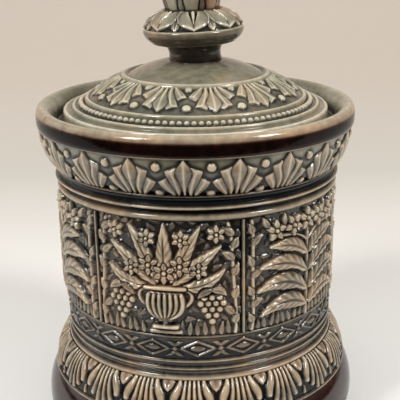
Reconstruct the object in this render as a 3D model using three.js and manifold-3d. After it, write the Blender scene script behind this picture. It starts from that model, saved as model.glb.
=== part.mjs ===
// Stoneware tobacco jar with a lift-off lid. Millimetres, +Z up, origin at the centre of the base.
import * as THREE from "three";
import { mergeVertices } from "three/addons/utils/BufferGeometryUtils.js";
import Module from "manifold-3d";

const wasm = await Module();
wasm.setup();

// Facets round the jar and lid, and round the slimmer finial.
const SIDES = 30;
const FINIAL_SIDES = 24;

// Fits: gap between luted pieces, depth a relief lobe is let into its backing, thickness of a backing.
const FIT = 0.3;
const SINK = 0.5;
const BACKING = 1.2;

// Radii. The bore carries the rest, so the wall, gallery, lid and rim move with it.
const BORE_R = 54.5;
const WALL_T = 6.3;
const LID_SEAT = 3.9;
const LID_GAP = 3.2;
const LIP_SLOPE = 3.1;
const LIP_T = 2.5;
const RIM_ROLL = 3.0;
const RIM_EDGE = 0.9;
const COLLAR_STEP = 1.6;
const NECK_STEP = 1.1;
const FOOT_SPREAD = 12.0;
const STUB_STEP = 2.8;
const TREAD_STEP = 5.3;

const WALL_R = BORE_R + WALL_T;
const SEAT_R = WALL_R - BACKING - FIT;
const STUB_R = WALL_R - STUB_STEP;
const NECK_R = WALL_R + NECK_STEP;
const FOOT_R = WALL_R + FOOT_SPREAD;
const TREAD_R = FOOT_R - TREAD_STEP;
const LID_R = BORE_R + LID_SEAT;
const GALLERY_R = LID_R + LID_GAP;
const LIP_R = GALLERY_R + LIP_SLOPE;
const CREST_R = LIP_R + LIP_T;
const RIM_R = CREST_R + RIM_ROLL;

// Heights of the zones from the base up.
const FOOT_H = 27.8;
const LINE_H = 1.4;
const LEAF_H = 13.6;
const HEAVY_RING_H = 3.2;
const RING_H = 2.0;
const GROOVE_H = 1.6;
const ORNAMENT_H = 9.5;
const FRIEZE_H = 50.0;
const COVE_H = 3.2;
const COLLAR_H = 16.1;
const BAND_H = 6.4;
const LIP_H = 2.4;
const FLOOR_T = 8.0;
const FLOOR_FILLET = 7.0;
const GALLERY_DEPTH = 6.2;

const Z_LEAF = FOOT_H + LINE_H;
const Z_SHOULDER = Z_LEAF + LEAF_H;
const Z_RING_LOW = Z_SHOULDER + HEAVY_RING_H + GROOVE_H;
const Z_RING_MID = Z_RING_LOW + RING_H + GROOVE_H;
const Z_ORNAMENT = Z_RING_MID + RING_H;
const Z_SILL = Z_ORNAMENT + ORNAMENT_H;
const Z_FRIEZE = Z_SILL + LINE_H;
const Z_CORNICE = Z_FRIEZE + FRIEZE_H;
const Z_RING_TOP = Z_CORNICE + HEAVY_RING_H + GROOVE_H;
const Z_COVE = Z_RING_TOP + RING_H;
const Z_NECK_LINE = Z_COVE + COVE_H;
const Z_COLLAR = Z_NECK_LINE + LINE_H;
const Z_BAND = Z_COLLAR + COLLAR_H;
const Z_LIP = Z_BAND + BAND_H;
const Z_CREST = Z_LIP + LIP_H;
const Z_GALLERY = Z_LIP - GALLERY_DEPTH;

// How far each ring stands out.
const HEAVY_PROUD = 1.2;
const LOW_PROUD = 0.4;
const MID_PROUD = 0.7;
const CORNICE_PROUD = 0.8;
const TOP_PROUD = 1.6;

// Relief: heights, counts round the jar, and the turn of each pattern from the front in degrees.
const COLLAR_RELIEF = 1.2;
const LEAF_RELIEF = 1.35;
const FRIEZE_RELIEF = 2.8;
const ORNAMENT_RELIEF = 1.0;
const LID_RELIEF = 0.9;
const COLLAR_COUNT = 20;
const LEAF_COUNT = 20;
const ORNAMENT_COUNT = 20;
const PANEL_COUNT = 6;
const LID_COUNT = 12;
const BEAD_COUNT = 110;
const CALYX_COUNT = 8;
const COLLAR_TURN = -3.3;
const LEAF_TURN = 6.5;
const PANEL_TURN = -12;
const LID_TURN = 11;
const BAR_W = 1.6;
const BAR_PROUD = 1.4;
const STUD_R = 1.7;

// Lid: edge, flange that hangs in the bore, rings and dome.
const LID_EDGE_H = 6.5;
const LID_CLEARANCE = 1.0;
const FLANGE_H = 9.5;
const FLANGE_T = 5.0;
const LID_WALL = 6.0;
const OUTER_RING_IN = 4.75;
const BEAD_IN = 8.0;
const INNER_RING_IN = 10.5;
const DOME_RING_IN = 26.75;
const RING_W = 0.9;
const OUTER_RING_RISE = 1.6;
const CHANNEL_RISE = 1.4;
const BEAD_RISE = 1.9;
const BEAD_W = 2.2;
const BEAD_DIP = 1.1;
const INNER_RING_RISE = 5.1;
const DOME_RING_RISE = 13.7;
const STEM_RISE = 19.2;
const DOME_SAG = 1.0;

const FLANGE_R = BORE_R - LID_CLEARANCE;
const HOLLOW_R = FLANGE_R - FLANGE_T;
const OUTER_RING_R = LID_R - OUTER_RING_IN;
const BEAD_R = LID_R - BEAD_IN;
const INNER_RING_R = LID_R - INNER_RING_IN;
const DOME_RING_R = LID_R - DOME_RING_IN;
const Z_FLANGE = Z_GALLERY - FLANGE_H;
const Z_LID = Z_GALLERY + LID_EDGE_H;
const Z_CHANNEL = Z_LID + CHANNEL_RISE;
const Z_INNER_RING = Z_LID + INNER_RING_RISE;
const Z_DOME_RING = Z_LID + DOME_RING_RISE;
const Z_STEM = Z_LID + STEM_RISE;

// Finial: neck, disc, leaf calyx and bud.
const NECK_FOOT_R = 12.2;
const NECK_WAIST_R = 11.3;
const DISC_R = 21.9;
const COLUMN_R = 10.8;
const BUD_RING_R = 13.3;
const NECK_H = 5.7;
const DISC_UNDER_H = 4.0;
const DISC_H = 4.8;
const CALYX_H = 6.6;
const BUD_RING_H = 1.8;
const BUD_R = 13.2;
const BUD_H = 26.0;
const CALYX_WAVE = 0.9;
const BUD_WAVE = 1.1;

const Z_DISC = Z_STEM + NECK_H + DISC_UNDER_H;
const Z_CALYX = Z_DISC + DISC_H;
const Z_BUD_RING = Z_CALYX + CALYX_H;
const Z_BUD = Z_BUD_RING + BUD_RING_H;

const DEGREE = Math.PI / 180;
const FULL_TURN = 2 * Math.PI;

// A geometry as a solid, without the empty triangles that a turned profile leaves on its axis.
function solid(geometry) {
  geometry.deleteAttribute("normal");
  geometry.deleteAttribute("uv");
  const merged = mergeVertices(geometry, 1e-3);
  const corner = merged.index.array;
  const triVerts = [];
  for (let i = 0; i < corner.length; i += 3) {
    const [a, b, c] = corner.slice(i, i + 3);
    if (a !== b && b !== c && c !== a) triVerts.push(a, b, c);
  }
  return new wasm.Manifold(
    new wasm.Mesh({
      numProp: 3,
      vertProperties: merged.attributes.position.array,
      triVerts: new Uint32Array(triVerts),
    }),
  );
}

// A solid as a geometry.
function geometryOf(body) {
  const mesh = body.getMesh();
  const geometry = new THREE.BufferGeometry();
  geometry.setAttribute("position", new THREE.BufferAttribute(new Float32Array(mesh.vertProperties), 3));
  geometry.setIndex(new THREE.BufferAttribute(new Uint32Array(mesh.triVerts), 1));
  return geometry;
}

// Turns a list of [radius, height] about Z, with a facet edge at the start angle. A wave moves each point of
// the list out, up and round with the angle.
function turned(profile, { sides = SIDES, start = 0, wave = null } = {}) {
  const geometry = new THREE.LatheGeometry(profile.map(([r, z]) => new THREE.Vector2(r, z)), sides);
  geometry.rotateX(Math.PI / 2).rotateZ(start * DEGREE);
  if (wave) {
    const position = geometry.attributes.position;
    for (let i = 0; i < position.count; i++) {
      const x = position.getX(i);
      const y = position.getY(i);
      const angle = Math.atan2(x, -y);
      const [out, up, round = 0] = wave(angle, i % profile.length);
      const r = Math.hypot(x, y);
      const far = r > FIT ? r + out : r;
      const turn = angle + round;
      position.setXYZ(i, far * Math.sin(turn), -far * Math.cos(turn), position.getZ(i) + up);
    }
  }
  return solid(geometry);
}

// A ring moulding that stands proud of radius r: a thin one has one crest line, a heavy one a flat face.
const RING_SLOPE = 0.3;
function thinRing(z, height, r, proud) {
  return [
    [r, z],
    [r + proud, z + height / 2],
    [r, z + height],
  ];
}

function heavyRing(z, height, r, proud) {
  return [
    [r, z],
    [r + proud, z + height * RING_SLOPE],
    [r + proud, z + height * (1 - RING_SLOPE)],
    [r, z + height],
  ];
}

// Points along a curve that bends through a control point, as [radius, height].
function bend(from, control, to, steps) {
  const curve = new THREE.QuadraticBezierCurve(
    new THREE.Vector2(...from),
    new THREE.Vector2(...control),
    new THREE.Vector2(...to),
  );
  return curve.getPoints(steps).map((p) => [p.x, p.y]);
}

// The surface that a curve of [radius, height] sweeps round the axis: u runs along its girth, v up the
// curve and w out of it, all in millimetres from an angle at the front.
function surface(points) {
  const path = new THREE.CurvePath();
  for (let i = 1; i < points.length; i++) {
    path.add(new THREE.LineCurve(new THREE.Vector2(...points[i - 1]), new THREE.Vector2(...points[i])));
  }
  const length = path.getLength();
  const place = (angle, u, v, w) => {
    const t = THREE.MathUtils.clamp(v / length, 0, 1);
    const p = path.getPointAt(t);
    const along = path.getTangentAt(t);
    const turn = angle + u / p.x;
    const r = p.x + w * along.y;
    return [r * Math.sin(turn), -r * Math.cos(turn), p.y - w * along.x];
  };
  return { length, place };
}

// A relief boss on a surface: upright sides round an outline of [u, v, height] points, and facets that
// run from the outline to a centre.
function boss(on, angle, outline, centre) {
  const points = outline.map((p) => on.place(angle, ...p));
  points.push(...outline.map(([u, v]) => on.place(angle, u, v, -SINK)));
  points.push(on.place(angle, ...centre), on.place(angle, centre[0], centre[1], -SINK));
  const count = outline.length;
  const top = 2 * count;
  const index = [];
  for (let i = 0; i < count; i++) {
    const next = (i + 1) % count;
    index.push(i, next, top);
    index.push(i, count + i, count + next, i, count + next, next);
    index.push(count + next, count + i, top + 1);
  }
  const geometry = new THREE.BufferGeometry();
  geometry.setAttribute("position", new THREE.Float32BufferAttribute(points.flat(), 3));
  geometry.setIndex(index);
  return solid(geometry);
}

// A leaf from its base to its tip, with its sides as [share of the length, share of the half width].
const BROAD_LEAF = [
  [0.3, 0.75],
  [0.68, 1],
];
const SLIM_LEAF = [[0.5, 1]];
const EDGE = 0.55;
function leaf(on, angle, base, tip, width, height, side = BROAD_LEAF) {
  const along = [tip[0] - base[0], tip[1] - base[1]];
  const length = Math.hypot(...along);
  const across = [(along[1] / length) * (width / 2), (-along[0] / length) * (width / 2)];
  const at = (far, wide, share) => [
    base[0] + along[0] * far + across[0] * wide,
    base[1] + along[1] * far + across[1] * wide,
    height * share,
  ];
  const right = side.map(([far, wide]) => at(far, wide, EDGE));
  const left = side.map(([far, wide]) => at(far, -wide, EDGE)).reverse();
  return boss(on, angle, [at(0, 0, EDGE), ...right, at(1, 0, EDGE), ...left], at(0.5, 0, 1));
}

// A round stud, or the outline of a blossom if it has more sides.
const STUD_SIDES = 4;
const BLOSSOM_SIDES = 5;
function stud(on, angle, centre, radius, height, sides = STUD_SIDES) {
  const outline = [];
  for (let i = 0; i < sides; i++) {
    const turn = (i / sides) * FULL_TURN;
    outline.push([centre[0] + radius * Math.cos(turn), centre[1] + radius * Math.sin(turn), height * EDGE]);
  }
  return boss(on, angle, outline, [...centre, height]);
}

// A palmette: lobes that fan out from a heel, each with a ridge to its tip and a notch to the next. Its heel
// and reach are shares of the band's height, and its half width is a share of the pitch.
const FAN_LOBES = 5;
const FAN_SPREAD = 160;
const FAN_HEEL = 0.3;
const FAN_REACH = 0.64;
const FAN_HALF = 0.43;
const FAN_FOOT = 0.05;
const NOTCH = 0.66;
function palmette(on, angle, pitch, up, height) {
  const heel = on.length * FAN_HEEL;
  const reach = on.length * FAN_REACH;
  const wide = pitch * FAN_HALF;
  const outline = [];
  const steps = 2 * (FAN_LOBES - 1);
  for (let i = 0; i <= steps; i++) {
    const turn = (i / steps - 0.5) * FAN_SPREAD * DEGREE;
    const far = i % 2 ? NOTCH : 1;
    const v = heel + reach * far * Math.cos(turn);
    outline.push([wide * far * Math.sin(turn), v, height * (i % 2 ? EDGE : 1)]);
  }
  outline.reverse();
  outline.push([0, on.length * FAN_FOOT, height * EDGE]);
  const laid = up ? outline : outline.map(([u, v, w]) => [-u, on.length - v, w]);
  const centre = [0, up ? heel : on.length - heel, height];
  return boss(on, angle, laid, centre);
}

// The same leaf on both sides of a motif.
function leafPair(on, angle, base, tip, ...size) {
  return [1, -1].map((k) => leaf(on, angle, [k * base[0], base[1]], [k * tip[0], tip[1]], ...size));
}

// The angles of a motif repeated round the jar.
function around(count, turn) {
  return Array.from({ length: count }, (_, k) => turn * DEGREE + (k * FULL_TURN) / count);
}

// One solid from several. What is flat to within this keeps only the faces that it needs.
const FLAT = 0.08;
const fuse = (bodies) => bodies.reduce((sum, body) => sum.add(body)).asOriginal().simplify(FLAT);

// A wedge of the space round the axis, from one angle to another, for cutting a ring into pieces.
function wedge(from, to) {
  const reach = 2 * FOOT_R;
  const shape = new THREE.Shape();
  shape.moveTo(0, 0);
  for (const angle of [from, (from + to) / 2, to]) {
    shape.lineTo(reach * Math.sin(angle), -reach * Math.cos(angle));
  }
  return solid(new THREE.ExtrudeGeometry(shape, { depth: Z_BUD, bevelEnabled: false }));
}

const part = new THREE.Group();
part.name = "stoneware_tobacco_jar";

// Glazes as they look on the jar.
const GLAZES = {
  relief: { color: 0x9c8f7c, roughness: 0.22, metalness: 0 },
  navy: { color: 0x3d3f45, roughness: 0.15, metalness: 0 },
  treacle: { color: 0x3a2018, roughness: 0.12, metalness: 0 },
  celadon: { color: 0x8d8670, roughness: 0.18, metalness: 0 },
};

function addNode(name, body, glaze) {
  const mesh = new THREE.Mesh(geometryOf(body), new THREE.MeshStandardMaterial(GLAZES[glaze]));
  mesh.name = name;
  part.add(mesh);
}

// Jar body: stub and floor, ring mouldings, seats for the relief bands, collar, lip, gallery and bore.
const RIM_FROM = 0.33;
const RIM_TO = 0.8;
const ROLL_IN = 0.4;
const COLLAR_FOOT_R = NECK_R + TOP_PROUD - COLLAR_RELIEF;
const COLLAR_TOP_R = RIM_R - COLLAR_STEP;
const jarBody = turned([
  [0, 0],
  [STUB_R, 0],
  [STUB_R, Z_SHOULDER],
  ...heavyRing(Z_SHOULDER, HEAVY_RING_H, WALL_R, HEAVY_PROUD),
  ...thinRing(Z_RING_LOW, RING_H, WALL_R, LOW_PROUD),
  ...thinRing(Z_RING_MID, RING_H, WALL_R, MID_PROUD),
  [SEAT_R, Z_ORNAMENT],
  [SEAT_R, Z_SILL],
  ...thinRing(Z_SILL, LINE_H, WALL_R, MID_PROUD),
  [SEAT_R, Z_FRIEZE],
  [SEAT_R, Z_CORNICE],
  ...heavyRing(Z_CORNICE, HEAVY_RING_H, NECK_R, CORNICE_PROUD),
  ...thinRing(Z_RING_TOP, RING_H, NECK_R, TOP_PROUD),
  [NECK_R - FIT, Z_COVE + COVE_H / 2],
  ...thinRing(Z_NECK_LINE, LINE_H, NECK_R, TOP_PROUD),
  [COLLAR_FOOT_R - BACKING - FIT, Z_COLLAR],
  [COLLAR_TOP_R - BACKING - FIT, Z_BAND],
  [RIM_R - RIM_EDGE, Z_BAND],
  [RIM_R, Z_BAND + BAND_H * RIM_FROM],
  [RIM_R, Z_BAND + BAND_H * RIM_TO],
  [RIM_R - RIM_ROLL * ROLL_IN, Z_LIP + LIP_H / 2],
  [CREST_R, Z_CREST],
  [LIP_R, Z_LIP + LIP_H / 2],
  [GALLERY_R, Z_GALLERY],
  [BORE_R, Z_GALLERY],
  [BORE_R, FLOOR_T + FLOOR_FILLET],
  [BORE_R - FLOOR_FILLET, FLOOR_T],
  [0, FLOOR_T],
]);
addNode("jar_body", jarBody, "navy");

// Foot ring: rolled plinth, thin line above it and the seat of the leaf band, bored for the body's stub.
const FOOT_TUCK = 0.14;
const FOOT_ROUND = 0.8;
const LEAF_SHOULDER = 0.8;
const LEAF_SPREAD = 0.35;
const leafCurve = bend(
  [WALL_R + HEAVY_PROUD - FIT, Z_SHOULDER],
  [TREAD_R - LEAF_RELIEF, Z_LEAF + LEAF_H * LEAF_SHOULDER],
  [TREAD_R + TREAD_STEP * LEAF_SPREAD - LEAF_RELIEF, Z_LEAF],
  3,
).reverse();
const leafLow = leafCurve[0];
const leafTop = leafCurve[leafCurve.length - 1];
const LINE_R = leafLow[0] + LEAF_RELIEF;
const footRing = turned([
  [STUB_R + FIT, 0],
  [TREAD_R, 0],
  ...bend([TREAD_R, 0], [FOOT_R - FIT, FOOT_H * FOOT_TUCK], [FOOT_R, FOOT_H / 2], 3).slice(1),
  ...bend([FOOT_R, FOOT_H / 2], [FOOT_R, FOOT_H * FOOT_ROUND], [LINE_R - FIT, FOOT_H], 3).slice(1),
  [LINE_R, FOOT_H + LINE_H / 2],
  [LINE_R - FIT, Z_LEAF],
  [leafLow[0] - BACKING - FIT, Z_LEAF],
  [leafTop[0] - BACKING - FIT, Z_SHOULDER],
  [STUB_R + FIT, Z_SHOULDER],
  [STUB_R + FIT, 0],
]);
addNode("foot_ring", footRing, "treacle");

// Leaf band of the foot: fans of reeds that hang down, with a heart over a hollow between each two. Each row
// up the curve gives the relief at the columns from the heart to the middle of the next fan.
const LEAF_ROWS = [
  [0, 0, 0, 0.5, 0, 1, 0.1],
  [0.5, 0, 0.1, 1, 0.3, 1, 0.2],
  [0.4, 0.2, 0.7, 1, 0.8, 0.8, 0.3],
  [0.7, 1, 0, 1, 0.6, 0.6, 0.3],
];
const LEAF_COLUMNS = 2 * (LEAF_ROWS[0].length - 1);
const leafReeds = (turn, row) => {
  if (row < 1 || row > LEAF_ROWS.length) return [0, 0];
  const leaves = (turn - LEAF_TURN * DEGREE) / (FULL_TURN / LEAF_COUNT);
  const column = THREE.MathUtils.euclideanModulo(Math.round(leaves * LEAF_COLUMNS), LEAF_COLUMNS);
  return [LEAF_RELIEF * LEAF_ROWS[row - 1][Math.min(column, LEAF_COLUMNS - column)], 0];
};
const leafSection = (thick) => [
  [leafLow[0] - thick, Z_LEAF],
  ...leafCurve.slice(0, -1),
  [leafTop[0], Z_SHOULDER - FIT],
  [leafTop[0] - thick, Z_SHOULDER - FIT],
  [leafLow[0] - thick, Z_LEAF],
];
const leafFans = turned(leafSection(SINK), {
  sides: LEAF_COLUMNS * LEAF_COUNT,
  start: LEAF_TURN,
  wave: leafReeds,
});
addNode("foot_leaf_band", fuse([turned(leafSection(BACKING)), leafFans]), "relief");

// Ornament band between the thin rings: a row of lozenges that slope up from the ground.
const LOZENGE_HALF_H = 0.42;
const LOZENGE_HALF_W = 0.47;
const ornamentOn = surface([
  [WALL_R, Z_ORNAMENT],
  [WALL_R, Z_SILL - FIT],
]);
const ornamentPitch = (FULL_TURN / ORNAMENT_COUNT) * WALL_R;
const ornamentBacking = turned([
  [WALL_R - BACKING, Z_ORNAMENT],
  [WALL_R, Z_ORNAMENT],
  [WALL_R, Z_SILL - FIT],
  [WALL_R - BACKING, Z_SILL - FIT],
  [WALL_R - BACKING, Z_ORNAMENT],
]);
const ornamentLobes = around(ORNAMENT_COUNT, 0).map((angle) => {
  const middle = ornamentOn.length / 2;
  const half = ornamentOn.length * LOZENGE_HALF_H;
  const wide = ornamentPitch * LOZENGE_HALF_W;
  const lozenge = [
    [0, middle - half, -FIT],
    [wide, middle, -FIT],
    [0, middle + half, -FIT],
    [-wide, middle, -FIT],
  ];
  return boss(ornamentOn, angle, lozenge, [0, middle, ORNAMENT_RELIEF]);
});
addNode("ornament_band", fuse([ornamentBacking, ...ornamentLobes]), "relief");

// Frieze: six moulded panels set round the wall, with an upright bar between each two.
const friezeOn = surface([
  [WALL_R, Z_FRIEZE],
  [WALL_R, Z_CORNICE],
]);
const friezeRing = (out) =>
  turned([
    [WALL_R - BACKING, Z_FRIEZE],
    [out, Z_FRIEZE],
    [out, Z_CORNICE - FIT],
    [WALL_R - BACKING, Z_CORNICE - FIT],
    [WALL_R - BACKING, Z_FRIEZE],
  ]);

// A point of a panel, from shares of its half width and of its height.
const onPanel = ([u, v]) => [u * friezeHalf, v * friezeOn.length];

// The motifs of a panel: leaves as [base, tip, width], those off the middle on both sides, and blossoms as
// [centre, radius]. Places are shares of the half width and the height, and sizes are shares of the height.
function foliage(angle, leaves, blossoms) {
  const size = (share) => share * friezeOn.length;
  const laid = leaves.flatMap(([base, tip, width, side]) => {
    const sizes = [onPanel(base), onPanel(tip), size(width), FRIEZE_RELIEF, side];
    return base[0] ? leafPair(friezeOn, angle, ...sizes) : [leaf(friezeOn, angle, ...sizes)];
  });
  const flowers = blossoms.flatMap(([[u, v], radius]) => {
    const centres = (u ? [u, -u] : [u]).map((side) => onPanel([side, v]));
    return centres.map((centre) => stud(friezeOn, angle, centre, size(radius), FRIEZE_RELIEF, BLOSSOM_SIDES));
  });
  return [...laid, ...flowers];
}

// Slim leaves up either side of every panel.
const SIDE_LEAVES = [
  [[0.92, 0.06], [0.92, 0.46], 0.09, SLIM_LEAF],
  [[0.92, 0.54], [0.92, 0.94], 0.09, SLIM_LEAF],
];

// A tobacco plant: a stalk with four pairs of broad leaves under a row of blossoms.
const PLANT_LEAVES = [
  ...SIDE_LEAVES,
  [[0, 0.03], [0, 0.78], 0.06],
  [[0.07, 0.17], [0.81, 0.13], 0.15],
  [[0.07, 0.33], [0.84, 0.34], 0.156],
  [[0.07, 0.49], [0.82, 0.54], 0.15],
  [[0.07, 0.64], [0.68, 0.72], 0.13],
];
const PLANT_BLOSSOMS = [
  [[0, 0.89], 0.1],
  [[0.38, 0.87], 0.1],
];
const plant = (angle) => foliage(angle, PLANT_LEAVES, PLANT_BLOSSOMS);

// A footed urn with a spray of leaves and blossoms, and a bunch of grapes on either side.
const URN_LEAVES = [
  ...SIDE_LEAVES,
  [[0, 0.5], [0, 0.98], 0.13],
  [[0.2, 0.46], [0.79, 0.57], 0.125],
  [[0.15, 0.5], [0.74, 0.77], 0.125],
  [[0.09, 0.54], [0.47, 0.97], 0.11],
];
const URN_BLOSSOMS = [[[0.7, 0.9], 0.08]];
const URN_SIDE = [
  [0.2, 0.03],
  [0.06, 0.16],
  [0.27, 0.3],
  [0.26, 0.44],
];
const URN_MIDDLE = [0, 0.3];
const GRAPES_U = 0.62;
const GRAPES = [
  [0, 0.11],
  [0.13, 0.23],
  [0.2, 0.35],
  [-0.2, 0.35],
  [-0.13, 0.23],
];
const GRAPES_MIDDLE = [0, 0.28];
function urn(angle) {
  const shape = (points, middle, side) => {
    const at = ([u, v]) => onPanel([u + side, v]);
    const outline = points.map((p) => [...at(p), FRIEZE_RELIEF * EDGE]);
    return boss(friezeOn, angle, outline, [...at(middle), FRIEZE_RELIEF]);
  };
  const bowl = [...URN_SIDE, ...URN_SIDE.map(([u, v]) => [-u, v]).reverse()];
  return [
    ...foliage(angle, URN_LEAVES, URN_BLOSSOMS),
    shape(bowl, URN_MIDDLE, 0),
    ...[GRAPES_U, -GRAPES_U].map((side) => shape(GRAPES, GRAPES_MIDDLE, side)),
  ];
}

const panelSpan = FULL_TURN / PANEL_COUNT;
const barSpan = BAR_W / WALL_R;
const panelEdge = panelSpan / 2 - barSpan / 2 - FIT / WALL_R;
const friezeHalf = panelEdge * WALL_R;
around(PANEL_COUNT, PANEL_TURN).forEach((angle, k) => {
  const slab = friezeRing(WALL_R).intersect(wedge(angle - panelEdge, angle + panelEdge));
  const relief = k % 2 ? plant(angle) : urn(angle);
  addNode(`frieze_panel_${k + 1}`, fuse([slab, ...relief]), "relief");
  const join = angle + panelSpan / 2;
  const bar = friezeRing(WALL_R + BAR_PROUD).intersect(wedge(join - barSpan / 2, join + barSpan / 2));
  addNode(`frieze_bar_${k + 1}`, bar, "relief");
});

// Palmette band of the collar: a fan of five lobes over its knee, with a stud between each two fans.
const COLLAR_KNEE_OUT = 0.5;
const COLLAR_KNEE_UP = 0.26;
const STUD_UP = 0.78;
const collarCurve = [
  [COLLAR_FOOT_R, Z_COLLAR],
  [THREE.MathUtils.lerp(COLLAR_FOOT_R, COLLAR_TOP_R, COLLAR_KNEE_OUT), Z_COLLAR + COLLAR_H * COLLAR_KNEE_UP],
  [COLLAR_TOP_R, Z_BAND - FIT],
];
const collarOn = surface(collarCurve);
const collarBacking = turned(
  [
    [COLLAR_FOOT_R - BACKING, Z_COLLAR],
    ...collarCurve,
    [COLLAR_TOP_R - BACKING, Z_BAND - FIT],
    [COLLAR_FOOT_R - BACKING, Z_COLLAR],
  ],
  { sides: 2 * COLLAR_COUNT, start: COLLAR_TURN },
);
const collarPitch = (FULL_TURN / COLLAR_COUNT) * COLLAR_TOP_R;
const collarLobes = around(COLLAR_COUNT, COLLAR_TURN).flatMap((angle) => [
  palmette(collarOn, angle, collarPitch, true, COLLAR_RELIEF),
  stud(collarOn, angle, [collarPitch / 2, collarOn.length * STUD_UP], STUD_R, COLLAR_RELIEF),
]);
addNode("collar_palmette_band", fuse([collarBacking, ...collarLobes]), "relief");

// Lid: hollow dome with an edge that sits on the gallery and a flange that hangs in the bore.
const domeOut = [INNER_RING_R - RING_W, Z_INNER_RING - LID_RELIEF];
const domeIn = [DOME_RING_R + RING_W, Z_DOME_RING - LID_RELIEF];
const domeCurve = bend(
  domeOut,
  [(domeOut[0] + domeIn[0]) / 2 + DOME_SAG, (domeOut[1] + domeIn[1]) / 2 + DOME_SAG],
  [domeIn[0] + FIT, domeIn[1]],
  2,
);
const DOME_SEAT = BACKING + FIT;
const lid = turned([
  [0, Z_STEM - LID_WALL],
  [DOME_RING_R, Z_DOME_RING - LID_WALL],
  [HOLLOW_R, Z_INNER_RING - LID_WALL - DOME_SEAT],
  [HOLLOW_R, Z_FLANGE],
  [FLANGE_R, Z_FLANGE],
  [FLANGE_R, Z_GALLERY],
  [LID_R - RING_W, Z_GALLERY],
  [LID_R, Z_GALLERY + RING_W],
  [LID_R, Z_LID - RING_W],
  [LID_R - RING_W, Z_LID],
  [OUTER_RING_R + RING_W, Z_LID + OUTER_RING_RISE - RING_W],
  [OUTER_RING_R, Z_LID + OUTER_RING_RISE],
  [OUTER_RING_R - RING_W, Z_CHANNEL],
  [INNER_RING_R + RING_W, Z_CHANNEL],
  [INNER_RING_R + RING_W / 2, Z_INNER_RING],
  [INNER_RING_R - RING_W / 2, Z_INNER_RING],
  [domeOut[0], domeOut[1] - DOME_SEAT],
  [domeIn[0], domeIn[1] - DOME_SEAT],
  [domeIn[0], domeIn[1]],
  [DOME_RING_R + RING_W / 2, Z_DOME_RING],
  [DOME_RING_R - RING_W / 2, Z_DOME_RING],
  [DOME_RING_R - RING_W, domeIn[1]],
  [(DOME_RING_R + NECK_FOOT_R) / 2, Z_STEM - LID_RELIEF * 2],
  [NECK_FOOT_R + RING_W, Z_STEM],
  [0, Z_STEM],
]);
addNode("lid", lid, "celadon");

// Palmette band of the lid, pointing outwards.
const domeOn = surface(domeCurve);
const domeBacking = turned([
  [domeOut[0] - FIT, domeOut[1] - BACKING],
  [domeOut[0] - FIT, domeOut[1]],
  ...domeCurve.slice(1),
  [domeIn[0] + FIT, domeIn[1] - BACKING],
  [domeOut[0] - FIT, domeOut[1] - BACKING],
]);
const domePitch = (FULL_TURN / LID_COUNT) * (DOME_RING_R + RING_W);
const domeStud = [(FULL_TURN / LID_COUNT / 2) * domeOut[0], domeOn.length * (1 - STUD_UP)];
const domeLobes = around(LID_COUNT, LID_TURN).flatMap((angle) => [
  palmette(domeOn, angle, domePitch, false, LID_RELIEF),
  stud(domeOn, angle, domeStud, STUD_R, LID_RELIEF),
]);
addNode("lid_palmette_band", fuse([domeBacking, ...domeLobes]), "celadon");

// Beaded ring of the lid: its crest dips between each two beads, and its foot has one facet to a bead.
const beadWave = (turn, row) => {
  const crest = Math.cos(turn * BEAD_COUNT) > 0;
  if (row === 2) return [0, crest ? 0 : -BEAD_DIP];
  return [0, 0, crest ? FULL_TURN / BEAD_COUNT / 2 : 0];
};
const beadRing = turned(
  [
    [BEAD_R - BEAD_W / 2, Z_CHANNEL],
    [BEAD_R + BEAD_W / 2, Z_CHANNEL],
    [BEAD_R, Z_CHANNEL + BEAD_RISE],
    [BEAD_R - BEAD_W / 2, Z_CHANNEL],
  ],
  { sides: 2 * BEAD_COUNT, wave: beadWave },
);
addNode("lid_bead_ring", beadRing, "celadon");

// Finial: necked stem with a disc and a column, a calyx of leaves round the column and a lobed bud.
const DISC_UNDER = 0.82;
const stem = turned(
  [
    [0, Z_STEM],
    [NECK_FOOT_R, Z_STEM],
    [NECK_WAIST_R, Z_STEM + NECK_H / 2],
    [NECK_WAIST_R + RING_W, Z_STEM + NECK_H],
    [DISC_R * DISC_UNDER, Z_DISC - RING_W],
    [DISC_R - RING_W, Z_DISC + RING_W],
    [DISC_R, Z_DISC + DISC_H / 2],
    [DISC_R - RING_W / 2, Z_CALYX - RING_W / 2],
    [DISC_R - RING_W * 2, Z_CALYX],
    [COLUMN_R, Z_CALYX],
    [COLUMN_R, Z_BUD_RING],
    [BUD_RING_R, Z_BUD_RING],
    [BUD_RING_R, Z_BUD],
    [0, Z_BUD],
  ],
  { sides: FINIAL_SIDES },
);
addNode("finial_stem", stem, "celadon");

const CALYX_LIP = 0.3;
const CALYX_MID = 0.72;
const CALYX_IN = COLUMN_R + FIT;
const calyxOut = DISC_R - RING_W * 2 - CALYX_WAVE;
const lobes = (turn) => Math.cos(turn * CALYX_COUNT);
const calyx = turned(
  [
    [CALYX_IN, Z_CALYX],
    [calyxOut, Z_CALYX],
    [calyxOut - RING_W, Z_CALYX + CALYX_H * CALYX_LIP],
    [THREE.MathUtils.lerp(CALYX_IN, calyxOut, CALYX_MID), Z_CALYX + CALYX_H * CALYX_MID],
    [BUD_RING_R - CALYX_WAVE, Z_BUD_RING - FIT],
    [CALYX_IN, Z_BUD_RING - FIT],
    [CALYX_IN, Z_CALYX],
  ],
  {
    sides: FINIAL_SIDES,
    wave: (turn, row) => [row >= 1 && row <= 4 ? CALYX_WAVE * lobes(turn) : 0, 0],
  },
);
addNode("finial_calyx", calyx, "celadon");

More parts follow.
